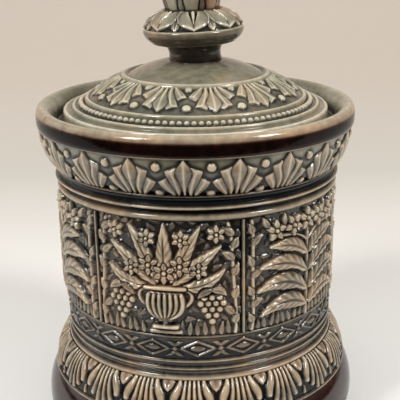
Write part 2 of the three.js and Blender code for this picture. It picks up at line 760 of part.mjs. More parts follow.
// The bud's profile, in shares of its radius and height.
const BUD_PROFILE = [
  [0, 0],
  [0.82, 0],
  [0.95, 0.22],
  [1, 0.48],
  [0.8, 0.76],
  [0.4, 0.94],
  [0, 1],
];
const bud = turned(
  BUD_PROFILE.map(([r, z]) => [BUD_R * r, Z_BUD + BUD_H * z]),
  {
    sides: FINIAL_SIDES,
    wave: (turn, row) => [row >= 2 && row <= 5 ? BUD_WAVE * lobes(turn) : 0, 0],
  },
);
addNode("finial_bud", bud, "celadon");

export default part;
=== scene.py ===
import math

import bmesh
import bpy
import numpy as np
from mathutils import Matrix, Vector


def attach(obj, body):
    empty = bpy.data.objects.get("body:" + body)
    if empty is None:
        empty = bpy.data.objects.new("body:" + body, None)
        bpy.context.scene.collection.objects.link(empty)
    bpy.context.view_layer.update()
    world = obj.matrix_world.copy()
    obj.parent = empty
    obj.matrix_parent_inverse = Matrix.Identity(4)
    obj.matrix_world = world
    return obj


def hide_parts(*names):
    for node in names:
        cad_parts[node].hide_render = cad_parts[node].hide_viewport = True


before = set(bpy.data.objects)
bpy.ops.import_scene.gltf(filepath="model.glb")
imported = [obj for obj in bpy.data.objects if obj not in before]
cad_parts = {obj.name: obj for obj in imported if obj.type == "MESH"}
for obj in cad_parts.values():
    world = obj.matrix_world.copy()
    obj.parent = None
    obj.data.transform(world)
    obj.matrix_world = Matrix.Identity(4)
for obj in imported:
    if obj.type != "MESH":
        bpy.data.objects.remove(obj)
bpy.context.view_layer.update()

# Stoneware tobacco jar. Lengths are in millimetres, as in the CAD, until a mesh is made.
MM = 0.001
FULL_TURN = 2 * math.pi
BOTH_SIDES = (1, -1)
rng = np.random.default_rng(7)

# Main radii.
STUB_R = 58.0
TREAD_R = 67.5
FOOT_R = 72.8
LINE_R = 68.9
WALL_R = 60.8
NECK_R = 61.9
RIM_R = 70.3
BORE_R = 54.5
LID_R = 58.4
FLANGE_R = 53.5
HOLLOW_R = 48.5

# Main heights, and how tall the three kinds of turned moulding are.
ROLL = 3.2
RING = 2.0
THREAD = 1.4
Z_FLOOR = 8.0
Z_BULGE = 13.9
Z_LINE = 27.8
Z_LEAF = Z_LINE + THREAD
Z_SHOULDER = 42.8
Z_RING_LOW = 47.6
Z_RING_MID = 51.2
Z_ORNAMENT = Z_RING_MID + RING
Z_SILL = 62.7
Z_FRIEZE = Z_SILL + THREAD
Z_CORNICE = 114.1
Z_RING_TOP = 118.9
Z_COVE = Z_RING_TOP + RING
Z_NECK_LINE = 124.1
Z_COLLAR = Z_NECK_LINE + THREAD
Z_FLANGE = 132.3
Z_GALLERY = 141.8
Z_DOME = 168.0
Z_DISC = 182.0
Z_BUD = 190.4

# Small gaps: between stretches of an outline, at the edges of a band, and between luted pieces.
JOIN = 0.1
SEAT = 0.05
LUTE = 0.3

# Columns round a turned piece.
TURN_STEPS = 256
FINIAL_STEPS = 160


# Curves, as (radius, height) on a turned piece or (round the girth, up the curve) on a band.


def bezier(*points, count=24):
    t = np.linspace(0, 1, count)[:, None]
    stack = [np.repeat(np.array(p, float)[None], count, 0) for p in points]
    while len(stack) > 1:
        stack = [a * (1 - t) + b * t for a, b in zip(stack, stack[1:])]
    return stack[0]


def even(points, count):
    """The same curve with its points evenly spaced along it."""
    points = np.asarray(points, float)
    far = np.concatenate([[0], np.cumsum(np.hypot(*np.diff(points, axis=0).T))])
    at = np.linspace(0, far[-1], count)
    return np.stack([np.interp(at, far, points[:, k]) for k in (0, 1)], 1)


def length_of(points):
    return np.hypot(*np.diff(points, axis=0).T).sum()


def climb(path):
    """From 0 at the bottom of a path to 1 at its top, as a column."""
    return np.linspace(0, 1, len(path))[:, None]


def mirrored(side, points):
    """Points of the right half of a design, turned over to the left half where side is -1."""
    return [(side * u, v) for u, v in points]


def smooth(low, high, x):
    t = np.clip((x - low) / (high - low), 0, 1)
    return t * t * (3 - 2 * t)


def blur(field, radius, around):
    """Box blur, three times over, with wrap round the girth if the field goes all round."""
    out = field
    size = 2 * radius + 1
    for _ in range(3):
        for axis, wraps in ((0, False), (1, around)):
            pad = [(radius, radius) if a == axis else (0, 0) for a in (0, 1)]
            wide = np.pad(out, pad, mode="wrap" if wraps else "edge")
            total = np.insert(np.cumsum(wide, axis=axis), 0, 0, axis=axis)
            high = np.take(total, np.arange(size, total.shape[axis]), axis=axis)
            low = np.take(total, np.arange(0, total.shape[axis] - size), axis=axis)
            out = (high - low) / size
    return out


# Sections of a stroke: x is 0 on its middle line and 1 at its edge, and along goes from 0 to 1.


def bulge(x):
    return np.sqrt(np.clip(1 - x * x, 0, 1))


def crest(x, wide):
    return np.exp(-((x / wide) ** 2))


def domed(x, along):
    return bulge(x)


def keeled(x, along):
    """A lobe whose two sides slope down from a ridge."""
    slope = 0.5 + 0.36 * np.clip(1 - x, 0, 1)
    return (slope + 0.14 * crest(x, 0.14)) * smooth(1.03, 0.93, x)


def rounded(x, along):
    """A lobe with a full, rounded face and steep sides."""
    return (0.42 + 0.55 * bulge(x)) * smooth(1.05, 0.88, x)


def veined(x, along):
    """A leaf with a sunk midrib and slanting side veins."""
    body = 0.3 + 0.7 * bulge(x)
    rib = 0.3 * crest(x, 0.13)
    slant = FULL_TURN * (along * 7 - x * 1.3)
    vein = 0.13 * (0.5 + 0.5 * np.cos(slant)) * smooth(0.1, 0.3, x)
    return (body - rib - vein) * smooth(1.05, 0.88, x)


def paired(x, along):
    """A petal with two full halves and a fine edge."""
    halves = 0.46 + 0.4 * bulge(2 * x - 0.95)
    return np.maximum(halves, 0.95 * crest(x - 0.94, 0.06)) * smooth(1.06, 0.98, x)


def nearest(U, V, path):
    """How far each point of a grid lies from a path, how far along it, and how far to its right."""
    gap = np.full(U.shape, np.inf)
    along = np.zeros(U.shape)
    across = np.zeros(U.shape)
    last = len(path) - 1
    for k in range(last):
        (a, b), (du, dv) = path[k], path[k + 1] - path[k]
        size = max(math.hypot(du, dv), 1e-9)
        t = np.clip(((U - a) * du + (V - b) * dv) / size**2, 0, 1)
        here = np.hypot(U - a - t * du, V - b - t * dv)
        near = here < gap
        gap = np.where(near, here, gap)
        along = np.where(near, (k + t) / last, along)
        across = np.where(near, ((U - a) * dv - (V - b) * du) / size, across)
    return gap, along, across


class Field:
    """Relief drawn on a flat field, that is then wrapped on a turned surface."""

    CUT_SOFT = 0.15
    CUT_END = 0.2

    def __init__(self, u, v):
        self.u, self.v = u, v
        self.h = np.zeros((len(v), len(u)))

    def stroke(self, path, widths, height, shape=domed, tail=None, halo=0.0):
        """Lays a stroke along a path. A tail notches its end, and a halo sinks what lies round it."""
        reach = max(widths) * (1.3 + halo)
        low, high = path.min(0) - reach, path.max(0) + reach
        cols = slice(*np.searchsorted(self.u, (low[0], high[0])))
        rows = slice(*np.searchsorted(self.v, (low[1], high[1])))
        if cols.start == cols.stop or rows.start == rows.stop:
            return
        U, V = np.meshgrid(self.u[cols], self.v[rows])
        gap, along, across = nearest(U, V, path)
        width = np.maximum(np.interp(along, np.linspace(0, 1, len(widths)), widths), 1e-3)
        x = gap / width
        h = height * shape(x, along)
        if tail is not None:
            end = path[-1] - path[-2]
            end = end / np.hypot(*end)
            past = (U - path[-1][0]) * end[0] + (V - path[-1][1]) * end[1]
            notch = tail * (1 - np.clip(np.abs(across) / width, 0, 1))
            h = h * smooth(self.CUT_SOFT, -self.CUT_SOFT, past + notch)
            h = np.where(past > self.CUT_END, 0, h)
        under = self.h[rows, cols]
        if halo:
            under = under * smooth(1.0, 1.0 + halo, x)
        self.h[rows, cols] = np.maximum(under, h)

    def leaf(self, *points, wide, height, halo=0.3):
        """A leaf along a curve, narrow at its base and pointed at its end."""
        far = np.linspace(0, 1, 15)
        share = np.sin(math.pi * far**0.8) ** 0.75 * (1 - 0.25 * far)
        share[-1] = 0.02
        widths = wide * np.maximum(share, 0.06)
        self.stroke(even(bezier(*points), 16), widths, height, veined, halo=halo)

    def line(self, *points, wide, height, halo=0.0):
        self.stroke(even(bezier(*points), 18), [wide, wide], height, halo=halo)

    def bar(self, half, v, wide, height, halo=0.0):
        self.line((-half, v), (half, v), wide=wide, height=height, halo=halo)

    def stud(self, u, v, radius, height, halo=0.0):
        self.stroke(np.array([(u, v), (u + 1e-4, v)]), [radius, radius], height, halo=halo)

    def flower(self, u, v, radius, height, petals=6, turn=0.0):
        widths = [0.2, 0.34 * radius, 0.42 * radius, 0.22 * radius]
        for k in range(petals):
            a = turn + FULL_TURN * k / petals
            petal = [(u + far * math.cos(a), v + far * math.sin(a)) for far in (0.2 * radius, radius)]
            self.stroke(even(petal, 6), widths, height, veined, halo=0.2)
        self.stud(u, v, radius * 0.3, height * 1.15, halo=0.4)


# Pieces.


def add_mesh(name, points, quads, caps, values, weld):
    """A smooth mesh with one attribute for each of the glaze's values."""
    mesh = bpy.data.meshes.new(name)
    mesh.vertices.add(len(points))
    mesh.vertices.foreach_set("co", (points * MM).astype(np.float32).ravel())
    loops = np.concatenate([quads.ravel(), *caps]).astype(np.int32)
    sizes = np.array([4] * len(quads) + [len(cap) for cap in caps], np.int32)
    mesh.loops.add(len(loops))
    mesh.loops.foreach_set("vertex_index", loops)
    mesh.polygons.add(len(sizes))
    mesh.polygons.foreach_set("loop_start", (np.cumsum(sizes) - sizes).astype(np.int32))
    mesh.update(calc_edges=True)
    for key, value in values.items():
        layer = mesh.attributes.new(key, "FLOAT", "POINT")
        layer.data.foreach_set("value", np.ascontiguousarray(value, np.float32).ravel())
    if weld:
        work = bmesh.new()
        work.from_mesh(mesh)
        bmesh.ops.remove_doubles(work, verts=work.verts, dist=1e-6)
        work.to_mesh(mesh)
        work.free()
    mesh.shade_smooth()
    return mesh


def grid_piece(name, grid, values, material, body, nodes, wrap_rows=True, wrap_cols=True, weld=False):
    """One closed piece from a grid of points: rows run up and over the section, columns round the jar."""
    rows, cols = grid.shape[:2]
    index = np.arange(rows * cols).reshape(rows, cols)
    if wrap_rows:
        index = np.vstack([index, index[:1]])
    if wrap_cols:
        index = np.hstack([index, index[:, :1]])
    corners = (index[:-1, :-1], index[:-1, 1:], index[1:, 1:], index[1:, :-1])
    quads = np.stack(corners, -1).reshape(-1, 4)
    first = np.arange(rows) * cols
    caps = [] if wrap_cols else [first, (first + cols - 1)[::-1]]
    mesh = add_mesh(name, grid.reshape(-1, 3), quads, caps, values, weld)
    obj = bpy.data.objects.new(name, mesh)
    bpy.context.scene.collection.objects.link(obj)
    obj.data.materials.append(material)
    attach(obj, body)
    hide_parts(*nodes)
    return obj


def swept(radius, height, turns):
    """Points round the jar, with turn 0 in front."""
    height = np.broadcast_to(height, radius.shape)
    return np.stack([radius * np.sin(turns), -radius * np.cos(turns), height], -1)


def relief(name, path, h, turns, pool, back, slot, body, node, around=True, weld=False, brown=0.0,
           green=0.0, place=None):
    """A moulded shell on a turned surface: the path runs up, h stands out from it, two rows close it."""
    along = np.gradient(path, axis=0)
    along /= np.hypot(*along.T)[:, None]
    out = np.stack([along[:, 1], -along[:, 0]], 1)
    behind = path[[-1, 0]] - back * out[[-1, 0]]
    cols = h.shape[1]
    front = path[:, :, None] + out[:, :, None] * h[:, None]
    closed = np.concatenate([front, np.repeat(behind[:, :, None], cols, 2)])
    grid = swept(np.maximum(closed[:, 0], 0), closed[:, 1], turns[None])
    grid = place(grid) if place else grid
    hidden = np.zeros((2, cols))
    values = {"pool": pool, "brown": brown, "green": green, "bare": 0.0}
    values = {key: np.vstack([np.broadcast_to(value, h.shape), hidden]) for key, value in values.items()}
    return grid_piece(name, grid, values, GLAZES[slot], body, [node], wrap_cols=around, weld=weld)


def turned(name, rows, steps, slot, body, node, poles=True, place=None, green=None):
    """A turned piece from the rows of an outline. With poles, the outline starts and ends on the axis."""
    rows = np.array(rows, float)
    ones = np.ones(steps)
    turns = np.arange(steps) * FULL_TURN / steps
    grid = swept(rows[:, :1] * ones, rows[:, 1:2] * ones, turns[None])
    grid = place(grid) if place else grid
    values = {key: rows[:, k:k + 1] * ones for key, k in (("pool", 2), ("brown", 3), ("bare", 4))}
    if green:
        values["green"] = green(rows[:, :1], rows[:, 1:2]) * ones
    return grid_piece(name, grid, values, GLAZES[slot], body, [node], wrap_rows=not poles, weld=poles)


# Stretches of a turned outline, as rows of (radius, height, pool, brown, bare).


def run(points, pool, brown=0.0, bare=0.0, step=0.5):
    """A stretch along a curve, whose values may change on the way.

    Pool is 0 where the glaze is thick and dark, and 1 where it is thin and pale; some of its dark values
    are painted shade.
    Brown is the share of treacle glaze, and bare that of unglazed clay.
    """
    count = max(3, int(length_of(points) / step) + 2)
    share = np.linspace(0, 1, count)

    def spread(value):
        value = np.atleast_1d(value)
        return np.interp(share, np.linspace(0, 1, len(value)), value)

    flat = even(points, count)
    return [(r, z, p, b, n) for (r, z), p, b, n in zip(flat, spread(pool), spread(brown), spread(bare))]


def straight(*points, **glazing):
    return run(points, **glazing)


def curve(*points, **glazing):
    return run(bezier(*points), **glazing)


def moulding(z, tall, r, proud, light=0.9, dark=0.2, crisp=5):
    """A half-round moulding: the glaze is thin on its crest."""
    rows = []
    for t in np.linspace(0, math.pi, 17):
        pool = dark + (light - dark) * math.sin(t) ** crisp
        rows.append((r + proud * math.sin(t), z + tall / 2 - tall / 2 * math.cos(t), pool, 0, 0))
    return rows


def outline(*stretches):
    return [row for stretch in stretches for row in stretch]


# Materials.


def linear(red, green, blue):
    """An sRGB colour, with parts from 0 to 255, as Blender's linear colour."""
    parts = [c / 255 for c in (red, green, blue)]
    return tuple(((c + 0.055) / 1.055) ** 2.4 if c > 0.04 else c / 12.92 for c in parts) + (1.0,)


NAVY = [
    (0.0, (9, 13, 19)),
    (0.1, (24, 23, 22)),
    (0.2, (46, 41, 34)),
    (0.4, (77, 69, 57)),
    (0.6, (118, 106, 88)),
    (0.82, (163, 148, 124)),
    (1.0, (198, 183, 158)),
]
CELADON = [
    (0.0, (40, 39, 33)),
    (0.25, (78, 75, 63)),
    (0.5, (123, 118, 99)),
    (0.75, (161, 155, 134)),
    (1.0, (207, 200, 180)),
]
TREACLE = [(0.0, (13, 5, 4)), (0.35, (42, 18, 12)), (0.65, (98, 54, 30)), (0.95, (160, 124, 90))]
CLAY = [(0.2, (150, 128, 104)), (0.8, (196, 176, 148))]
PATCHES = [(0.45, (0, 0, 0)), (0.7, (255, 255, 255))]
ORANGE = (176, 124, 80)

# Mottling of the glaze: noise cells to a metre, how far they sway the pool, and wave depth in metres.
BROAD_SCALE, MIDDLE_SCALE, FINE_SCALE = 45, 320, 2200
BROAD_SWING, MIDDLE_SWING = 0.35, 0.4
WAVE_DEPTH = 0.0002
GLAZE_IOR = 1.52

# Each glaze by the name of its slot in the record.
GLAZES = {}


def glaze(name, stops, warm, rough=(0.07, 0.2), warm_share=0.4, shine=0.5):
    """A glaze that is thin and pale on edges and pools dark in hollows, where its reflections are also
    dimmed as painted shade.
    """
    material = bpy.data.materials.new(name)
    material.use_nodes = True
    tree = material.node_tree
    shader = tree.nodes["Principled BSDF"]
    shader.inputs["IOR"].default_value = GLAZE_IOR

    def node(kind, **settings):
        made = tree.nodes.new("ShaderNode" + kind)
        for key, value in settings.items():
            if key in made.inputs:
                made.inputs[key].default_value = value
            else:
                setattr(made, key, value)
        return made

    def feed(socket, value):
        if isinstance(value, bpy.types.NodeSocket):
            tree.links.new(value, socket)
        else:
            socket.default_value = value

    def calc(operation, a, b):
        made = node("Math", operation=operation)
        feed(made.inputs[0], a)
        feed(made.inputs[1], b)
        return made.outputs[0]

    def noise(scale, detail):
        made = node("TexNoise", Scale=scale, Detail=detail)
        feed(made.inputs["Vector"], where)
        return made.outputs["Fac"]

    def attribute(key):
        return node("Attribute", attribute_name=key).outputs["Fac"]

    def ramp(colours, factor):
        made = node("ValToRGB")
        elements = made.color_ramp.elements
        while len(elements) < len(colours):
            elements.new(0.5)
        for element, (at, colour) in zip(elements, colours):
            element.position = at
            element.color = linear(*colour)
        feed(made.inputs["Fac"], factor)
        return made.outputs["Color"]

    def mix(factor, a, b):
        made = node("Mix", data_type="RGBA")
        feed(made.inputs["Factor"], factor)
        feed(made.inputs[6], a)
        feed(made.inputs[7], b)
        return made.outputs[2]

    def swayed(value, by, swing):
        return calc("ADD", value, calc("MULTIPLY", calc("SUBTRACT", by, 0.5), swing))

    where = node("TexCoord").outputs["Object"]
    broad, middle, fine = noise(BROAD_SCALE, 3), noise(MIDDLE_SCALE, 4), noise(FINE_SCALE, 3)
    thin, brown, bare = attribute("pool"), attribute("brown"), attribute("bare")

    pool = swayed(swayed(thin, broad, BROAD_SWING), middle, MIDDLE_SWING)
    warmth = calc("MULTIPLY", calc("MULTIPLY", ramp(PATCHES, broad), warm_share), thin)
    colour = mix(warmth, ramp(stops, pool), linear(*warm))
    colour = mix(attribute("green"), colour, ramp(CELADON, pool))
    colour = mix(brown, colour, ramp(TREACLE, pool))
    colour = mix(bare, colour, ramp(CLAY, middle))
    feed(shader.inputs["Base Color"], colour)

    # Treacle glaze reflects less. The depths of hollows reflect less too: painted shade on the reflections,
    # where shade falls in the hollows.
    level = calc("SUBTRACT", shine, calc("MULTIPLY", brown, 0.3))
    open_share = calc("MINIMUM", calc("ADD", calc("MULTIPLY", thin, 2.4), 0.4), 1.0)
    feed(shader.inputs["Specular IOR Level"], calc("MULTIPLY", level, open_share))

    gloss = node("MapRange", **{"From Min": 0.3, "From Max": 0.7, "To Min": rough[0], "To Max": rough[1]})
    feed(gloss.inputs["Value"], middle)
    dull = calc("ADD", gloss.outputs["Result"], calc("MULTIPLY", bare, 0.55))
    feed(shader.inputs["Roughness"], dull)

    bump = node("Bump", Strength=0.25, Distance=WAVE_DEPTH)
    feed(bump.inputs["Height"], calc("ADD", middle, calc("MULTIPLY", fine, 0.25)))
    feed(shader.inputs["Normal"], bump.outputs["Normal"])
    GLAZES[name] = material


glaze("wall_glaze", NAVY, ORANGE)
glaze("relief_glaze", NAVY, ORANGE, shine=0.62)
glaze("foot_glaze", NAVY, ORANGE, rough=(0.05, 0.14), shine=0.76)
glaze("lid_glaze", CELADON, (176, 138, 100), warm_share=0.42)
glaze("finial_glaze", CELADON, (172, 124, 84), warm_share=0.65)


# Turned pieces of the jar.


def jar_body():
    """From the middle of the underside up the wall, over the rim and down the bore to the floor."""
    rim_foot, rim_wide, lip_edge = (69.9, 142.0), (RIM_R, 145.2), (69.9, 148.3)
    lip_top, lip_inner, well = (68.2, 150.2), (64.9, 149.2), (61.8, 142.6)
    well_r, seat_r, edge, fillet = 60.8, 58.5, 0.8, 7.0
    rows = outline(
        straight((0, 0), (STUB_R, 0), pool=0.5, bare=1, step=4),
        straight((STUB_R, 0), (STUB_R, Z_SHOULDER), pool=0, step=6),
        moulding(Z_SHOULDER, ROLL, WALL_R - 0.2, 1.4, crisp=3),
        curve((WALL_R - 0.2, Z_SHOULDER + ROLL + JOIN), (WALL_R, 46.8), (WALL_R - 0.1, Z_RING_LOW),
              pool=0.26),
        moulding(Z_RING_LOW, RING, WALL_R - 0.3, 0.8, light=0.75, dark=0.16, crisp=7),
        straight((WALL_R - 0.4, Z_RING_LOW + RING + JOIN), (WALL_R - 0.4, Z_RING_MID - JOIN), pool=0.2),
        moulding(Z_RING_MID, RING, WALL_R - 0.3, 1.0, light=0.8, dark=0.16, crisp=7),
        straight((WALL_R - 0.9, Z_ORNAMENT + JOIN), (WALL_R - 0.9, Z_SILL - JOIN), pool=0.1, step=2),
        moulding(Z_SILL, THREAD, WALL_R - 0.2, 0.9, light=0.6),
        straight((WALL_R - 1.0, Z_FRIEZE + JOIN), (WALL_R - 1.0, Z_CORNICE - JOIN), pool=0.1, step=3),
        moulding(Z_CORNICE, ROLL, NECK_R - 1.0, 2.0, light=0.8, dark=0.3, crisp=3),
        straight((NECK_R - 0.9, Z_CORNICE + ROLL + JOIN), (NECK_R - 0.9, Z_RING_TOP - JOIN), pool=0.05),
        moulding(Z_RING_TOP, RING, NECK_R - 0.2, 1.9, dark=0.15),
        curve((NECK_R - 0.1, Z_COVE + JOIN), (NECK_R - 1.1, 122.5), (NECK_R, Z_NECK_LINE - JOIN),
              pool=(0.0, 0.02, 0.16)),
        moulding(Z_NECK_LINE, THREAD, NECK_R + 0.3, 1.4, light=0.5),
        straight((61.4, Z_COLLAR + JOIN), (64.2, 131), (67.2, 141.2), pool=0.1, step=2),
        straight((69.0, 141.2), (69.7, 141.4), (69.9, 141.9), pool=0.6, step=0.15),
        curve(rim_foot, (RIM_R, 142.8), rim_wide, pool=(0.2, 0.02, 0.02), brown=(0.8, 1, 1)),
        curve(rim_wide, (70.28, 147.2), lip_edge, pool=(0.02, 0.02, 0.02, 0.1, 0.38, 0.66, 0.72),
              brown=(1, 1, 1, 1, 0.8, 0.28, 0.16), step=0.2),
        curve(lip_edge, (69.4, 149.8), lip_top, pool=(0.72, 0.8, 0.76), brown=(0.16, 0.12, 0.05, 0),
              step=0.2),
        curve(lip_top, (66.6, 150.5), lip_inner, pool=(0.78, 0.66, 0.56), step=0.3),
        # Down the inside of the mouth the glaze darkens, and the ledge out to the lid's seat is glazed
        # dark: painted shade of the gap under the lid's edge.
        curve(lip_inner, (62.8, 147.0), well, pool=(0.6, 0.6, 0.46, 0.22, 0.06)),
        curve(well, (61.6, Z_GALLERY), (well_r, Z_GALLERY), pool=0.05, step=0.3),
        straight((well_r, Z_GALLERY), (seat_r + JOIN, Z_GALLERY), pool=0.05, step=0.4),
        straight((seat_r - JOIN, Z_GALLERY), (BORE_R + edge, Z_GALLERY), pool=0.6, bare=1),
        curve((BORE_R + edge, Z_GALLERY), (BORE_R, Z_GALLERY), (BORE_R, Z_GALLERY - edge),
              pool=0.6, brown=0.3, bare=(1, 0), step=0.3),
        straight((BORE_R, Z_GALLERY - edge), (BORE_R, Z_FLOOR + fillet), pool=(0.35, 0.3), brown=0.8,
                 step=3),
        curve((BORE_R, Z_FLOOR + fillet), (BORE_R, Z_FLOOR), (BORE_R - fillet, Z_FLOOR), pool=0.3,
              brown=0.8),
        straight((BORE_R - fillet, Z_FLOOR), (0, Z_FLOOR), pool=0.35, brown=0.8, step=4),
    )

    def lip_green(r, z):
        return smooth(69.0, 67.3, r) * smooth(141.0, 143.0, z)

    turned("jar_turned", rows, TURN_STEPS, "wall_glaze", "jar", "jar_body", green=lip_green)


def foot():
    """A rolled treacle ring with a thin line on top, round the stub of the body."""
    tread, stub, top = TREAD_R - 0.6, STUB_R + LUTE, Z_SHOULDER - JOIN
    rows = outline(
        straight((stub, 0), (tread, 0), pool=0.5, bare=1, step=2),
        curve((tread, 0), (71.9, 1.2), (FOOT_R, Z_BULGE), pool=(0.45, 0.2, 0.12), brown=1,
              bare=(0.4, 0, 0, 0)),
        curve((FOOT_R, Z_BULGE), (FOOT_R, 22.24), (68.46, Z_LINE), pool=(0.12, 0.2, 0.35), brown=1),
        moulding(Z_LINE, THREAD, LINE_R - 0.5, 0.6, light=0.7, dark=0.3),
        straight((66.4, Z_LEAF + JOIN), (60.4, top), pool=0.1, step=2),
        straight((60.2, top), (stub, top), (stub, 0.2), pool=0, step=6),
    )
    turned("foot_turned", rows, TURN_STEPS, "foot_glaze", "jar", "foot_ring", poles=False)


# Bands of relief.


def repeated(path, count, per_unit, turn, radius):
    """The angles of all columns round the jar, and the pitch and field of one of the units that repeat."""
    share = (np.arange(per_unit) + 0.5) / per_unit - 0.5
    units = np.arange(count)[:, None] * FULL_TURN / count
    turns = (math.radians(turn) + units + share * FULL_TURN / count).ravel()
    pitch = FULL_TURN / count * radius
    return turns, pitch, Field(share * pitch, np.linspace(0, length_of(path), len(path)))


def all_round(values, count):
    return np.tile(values, (1, count))


def pooled(h, height, around=True, cells=3, ground=0.32, gain=0.42, edges=1.5):
    """How thin the glaze lies: thin on what stands out, thick at its foot, half-way on open ground."""
    level = np.clip(h, 0, None) / height
    edge = (h - blur(h, cells, around)) / height
    return np.clip(ground + gain * level + edges * edge, 0, 1)


def palmette(field, pitch, long, height, lift, tip):
    """Five lobes that flare from thin stems, half-rounds between the heels and studs between the tips."""

    def at(side, *shares):
        return [(side * u * pitch, v * long) for u, v in shares]

    heel = 0.02 + 0.8 * lift
    for side in BOTH_SIDES:
        arch = at(side, (0.5, lift), (0.5, 0.05 + lift))
        field.stroke(even(arch, 4), [0.105 * pitch, 0.09 * pitch], height * 0.8, halo=0.25)
        outer = bezier(*at(side, (0.205, heel), (0.27, 0.17 + lift), (0.4, 0.43 + 1.4 * lift)))
        field.stroke(even(outer, 14), [0.8, 1.4, 1.9, 2.2, 2.0], height * 0.9, keeled, tail=0.1, halo=0.1)
        middle = bezier(*at(side, (0.112, heel), (0.125, 0.4), (0.245, 0.745 + 0.3 * lift)))
        widths = [0.65, 1.15, 1.8, 2.25, 2.4, 2.25]
        field.stroke(even(middle, 14), widths, height * 0.95, keeled, tail=0.2, halo=0.1)
        field.stud(side * pitch / 2, (0.74 + 1.2 * lift) * long, 0.088 * pitch, height * 0.95, halo=0.5)
    spine = at(1, (0, heel), (0, tip))
    flare = np.array([0.024, 0.03, 0.042, 0.064, 0.092, 0.122, 0.15, 0.156, 0.112, 0.056, 0.002])
    field.stroke(even(spine, 16), flare * pitch, height, keeled, halo=0.1)


def collar_palmettes():
    """Twenty palmettes round the collar, on a ground that goes from navy below to celadon above; its
    darkening round the lobes and at the bottom is partly painted shade.
    """
    count, height = 20, 1.4
    path = even(bezier((62.5, Z_COLLAR), (67.3, 130.2), (68.6, 141.3), count=60), 64)
    turns, pitch, unit = repeated(path, count, 74, -3.3, 66.0)
    palmette(unit, pitch, length_of(path), height, lift=0.05, tip=1.0)
    h = all_round(unit.h, count)
    up = climb(path)
    ground = h < 0.3
    # Partly glaze pooling, partly painted shade: the ground darkens in a halo round the lobes and lightens
    # towards the top, and the whole band darkens at its bottom, where the collar faces down.
    shade = 0.29 * smooth(0.35, 0.85, up) - 1.1 * blur(1.0 * ~ground, 4, True)
    pool = np.clip(pooled(h, height, ground=0.26, gain=0.5, edges=1.6) + shade * ground, 0, 1)
    pool = pool * (0.4 + 0.6 * smooth(0.0, 0.16, up))
    green = smooth(0.3, 0.7, up) * ground
    relief("collar_palmettes", path, h, turns, pool, 1.2, "relief_glaze", "jar", "collar_palmette_band",
           green=green)


def foot_leaves():
    """Twenty fans of reeds that hang down, with a heart, a dark hollow and a drop between each two."""
    count, height = 20, 1.3
    path = even(bezier((67.76, Z_LEAF), (66.15, 40.08), (61.7, Z_SHOULDER), count=60), 58)
    turns, pitch, unit = repeated(path, count, 70, 6.5, 65.5)
    long = length_of(path)
    fan = pitch / 2
    for side in BOTH_SIDES:
        for top, low, end in ((0.95, 1.75, -0.03), (2.8, 4.9, 0.13)):
            bow, tip = (fan - top * 1.15, 0.5 * long), (fan - low, end * long + 1.2)
            points = [(fan - top, long + 0.4), bow, tip]
            reed = bezier(*mirrored(side, points))
            unit.stroke(even(reed, 14), [0.75, 0.85, 1.05, 1.4, 1.45], height)
        points = [(5.2, long + 0.3), (5.2, 0.76 * long), (2.3, 0.62 * long), (2.5, 0.4 * long)]
        lobe = bezier(*mirrored(side, points))
        unit.stroke(even(lobe, 18), [0.9, 1.6, 2.0, 1.95, 1.5], 1.4, halo=0.1)
    for side, halo in zip(BOTH_SIDES, (0.06, 0)):
        points = [(0.1, 0.74 * long), (0.7, 0.82 * long), (1.2, 0.97 * long)]
        heart = bezier(*mirrored(side, points))
        unit.stroke(even(heart, 10), [0.4, 1.3, 1.7, 1.8], height, rounded, halo=halo)
    drop = [(0, 0.1 * long), (0, 0.3 * long)]
    unit.stroke(even(drop, 8), [1.05, 0.9, 0.5, 0.1], 0.95)
    h = all_round(unit.h, count)
    up = climb(path)
    heart_glow = all_round(crest(unit.u, 3.2)[None], count) * smooth(0.45, 0.8, up)
    pool = pooled(h, height, ground=0.16 * smooth(0.3, 0.7, up), gain=0.44, edges=1.1)
    brown = 0.05 + 0.24 * heart_glow
    relief("foot_leaves", path, h, turns, pool, 1.2, "relief_glaze", "jar", "foot_leaf_band", brown=brown)


def ornament_row():
    """Twenty lozenges with a leaf in each, and a stud with four small leaves between each two."""
    count = 20
    path = even([(WALL_R, Z_ORNAMENT + SEAT), (WALL_R, Z_SILL - SEAT)], 32)
    turns, pitch, unit = repeated(path, count, 48, 0, WALL_R)
    half, middle = pitch / 2, length_of(path) / 2
    for side in BOTH_SIDES:
        for rise in BOTH_SIDES:
            edge = [(side * 0.36 * pitch, middle), (0, middle + rise * 3.3)]
            unit.stroke(even(edge, 8), [0.55, 0.55], 0.7)
        unit.stud(side * half, middle, 1.15, 0.8)
        for rise in BOTH_SIDES:
            bow, tip = (half - 1.2, middle + rise * 2.6), (half - 3.4, middle + rise * 3.2)
            points = [(half, middle + rise * 1.4), bow, tip]
            unit.leaf(*mirrored(side, points), wide=0.95, height=0.7)
    inner = [(-3.4, middle), (3.4, middle)]
    unit.stroke(even(inner, 8), [0.1, 1.1, 1.5, 1.1, 0.1], 0.75, veined)
    h = all_round(unit.h, count)
    pool = pooled(h, 1.2, ground=0.02 + 0.2 * climb(path), gain=0.26, edges=0.9)
    relief("ornament_row", path, h, turns, pool, 1.0, "relief_glaze", "jar", "ornament_band")


# Frieze: six panels in two designs, and the bars between them.

PANELS = 6
FIRST_PANEL = -12
BAR_HALF = 0.8
DEEP = 2.8
FRIEZE_PATH = even([(WALL_R, Z_FRIEZE + SEAT), (WALL_R, Z_CORNICE - SEAT)], 164)
PANEL_TURNS = np.linspace(-1, 1, 204) * (math.pi / PANELS - (BAR_HALF + LUTE) / WALL_R)
PANEL_U = PANEL_TURNS * WALL_R
PANEL_V = np.linspace(0, Z_CORNICE - Z_FRIEZE, len(FRIEZE_PATH))


